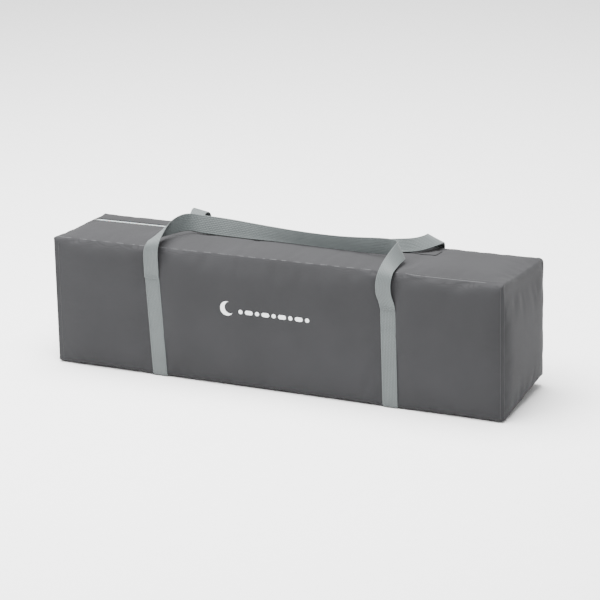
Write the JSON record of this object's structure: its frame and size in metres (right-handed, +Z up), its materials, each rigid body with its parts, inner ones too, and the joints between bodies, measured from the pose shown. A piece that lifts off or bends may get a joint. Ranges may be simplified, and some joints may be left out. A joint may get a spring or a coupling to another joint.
{
  "type": "travel playpen",
  "caption": "Folding travel playpen packed in a long zipped cloth carry bag with webbing handles; wrapped mattress, latched rails, legs and wheels inside.",
  "frame": {"origin": "middle of the flat underside of the packed bag, on the floor", "axes": "+X to the right along the bag, seen from the front, +Y to its back, where the zip is, +Z up"},
  "size_m": [0.76, 0.2004, 0.2503],
  "materials": {
    "bag_cloth": "matte",
    "webbing": "matte",
    "zip_tape": "matte",
    "zip_coil": "satin",
    "zip_metal": "satin",
    "seam_binding": "matte",
    "mattress_cover": "matte",
    "hook_loop": "matte",
    "frame_tube": "satin",
    "frame_plastic": "matte",
    "button_plastic": "satin",
    "rivet_steel": "satin",
    "wheel_plastic": "satin",
    "wall_mesh": "matte"
  },
  "bodies": {
    "packed_bag": {"back_panel": "bag_cloth", "back_seam_binding": "seam_binding", "base_tubes": "frame_tube", "bottom_gusset": "bag_cloth", "corner_bracket_lower_back": "frame_plastic", "corner_bracket_lower_front": "frame_plastic", "corner_bracket_upper_back": "frame_plastic", "corner_bracket_upper_front": "frame_plastic", "corner_rivets": "rivet_steel", "floor_hub": "frame_plastic", "foot_lower": "frame_plastic", "foot_upper": "frame_plastic", "front_panel": "bag_cloth", "front_seam_binding": "seam_binding", "left_end_gusset": "bag_cloth", "leg_lower_back": "frame_tube", "leg_lower_front": "frame_tube", "leg_upper_back": "frame_tube", "leg_upper_front": "frame_tube", "long_rail_back": "frame_tube", "long_rail_front": "frame_tube", "mattress_back_board": "mattress_cover", "mattress_bottom_board": "mattress_cover", "mattress_front_board": "mattress_cover", "mattress_hinges": "mattress_cover", "mattress_top_board": "mattress_cover", "rail_latch_back": "frame_plastic", "rail_latch_front": "frame_plastic", "rail_latch_lower": "frame_plastic", "rail_latch_upper": "frame_plastic", "right_gusset": "bag_cloth", "short_rail_lower": "frame_tube", "short_rail_upper": "frame_tube", "strap_left": "webbing", "strap_right": "webbing", "top_back_gusset": "bag_cloth", "top_front_gusset": "bag_cloth", "wall_fabric": "wall_mesh", "wheel_axles": "rivet_steel", "wheel_fork_lower": "frame_plastic", "wheel_fork_upper": "frame_plastic", "wrap_strap_left": "hook_loop", "wrap_strap_right": "hook_loop", "zip_bottom_stop": "zip_metal", "zip_end_tab": "bag_cloth"},
    "zip_slider": {"zip_slider": "zip_metal"},
    "zip_pull": {"zip_pull": "zip_metal"},
    "front_lip": {"zip_coil_front": "zip_coil", "zip_tape_front": "zip_tape"},
    "back_lip": {"zip_coil_back": "zip_coil", "zip_tape_back": "zip_tape"},
    "front_handle": {"front_handle": "webbing"},
    "back_handle": {"back_handle": "webbing"},
    "wheel_lower": {"wheel_lower": "wheel_plastic"},
    "wheel_upper": {"wheel_upper": "wheel_plastic"},
    "latch_button_front": {"latch_button_front": "button_plastic"},
    "latch_button_back": {"latch_button_back": "button_plastic"},
    "latch_button_lower": {"latch_button_lower": "button_plastic"},
    "latch_button_upper": {"latch_button_upper": "button_plastic"}
  },
  "joints": [
    {"name": "zip_slide", "type": "slide", "parent": "packed_bag", "child": "zip_slider", "axis": [-0.9999, 0, -0.0138], "range_m": [0, 0.498]},
    {"name": "zip_pull_swing", "type": "hinge", "parent": "zip_slider", "child": "zip_pull", "pos_m": [0.138, 0.04, 0.21061], "axis": [0, -1, 0], "range_deg": [0, 150]},
    {"name": "front_lip_open", "type": "slide", "parent": "packed_bag", "child": "front_lip", "axis": [0, -0.9981, 0.061], "range_m": [0, 0.075]},
    {"name": "back_lip_open", "type": "slide", "parent": "packed_bag", "child": "back_lip", "axis": [0, 0.9981, -0.061], "range_m": [0, 0.026]},
    {"name": "front_handle_swing", "type": "hinge", "parent": "packed_bag", "child": "front_handle", "pos_m": [-0.2045, -0.0907, 0.1686], "axis": [1, 0, -0.0075], "range_deg": [0, 100]},
    {"name": "back_handle_swing", "type": "hinge", "parent": "packed_bag", "child": "back_handle", "pos_m": [-0.2045, 0.0907, 0.1686], "axis": [-1, 0, 0.0075], "range_deg": [0, 100]},
    {"name": "wheel_lower_spin", "type": "hinge", "parent": "packed_bag", "child": "wheel_lower", "pos_m": [0.346, -0.052, 0.038], "axis": [0, 1, 0], "continuous": true},
    {"name": "wheel_upper_spin", "type": "hinge", "parent": "packed_bag", "child": "wheel_upper", "pos_m": [0.346, -0.052, 0.15], "axis": [0, 1, 0], "continuous": true},
    {"name": "latch_press_front", "type": "slide", "parent": "packed_bag", "child": "latch_button_front", "axis": [-1, 0, 0], "range_m": [0, 0.003], "stiffness_N_per_m": 400},
    {"name": "latch_press_back", "type": "slide", "parent": "packed_bag", "child": "latch_button_back", "axis": [-1, 0, 0], "range_m": [0, 0.003], "stiffness_N_per_m": 400},
    {"name": "latch_press_lower", "type": "slide", "parent": "packed_bag", "child": "latch_button_lower", "axis": [-1, 0, 0], "range_m": [0, 0.003], "stiffness_N_per_m": 400},
    {"name": "latch_press_upper", "type": "slide", "parent": "packed_bag", "child": "latch_button_upper", "axis": [-1, 0, 0], "range_m": [0, 0.003], "stiffness_N_per_m": 400}
  ],
  "couplings": [
    {"joint": "front_lip_open", "follows": "zip_slide", "ratio": 0.15},
    {"joint": "back_lip_open", "follows": "zip_slide", "ratio": 0.05}
  ]
}
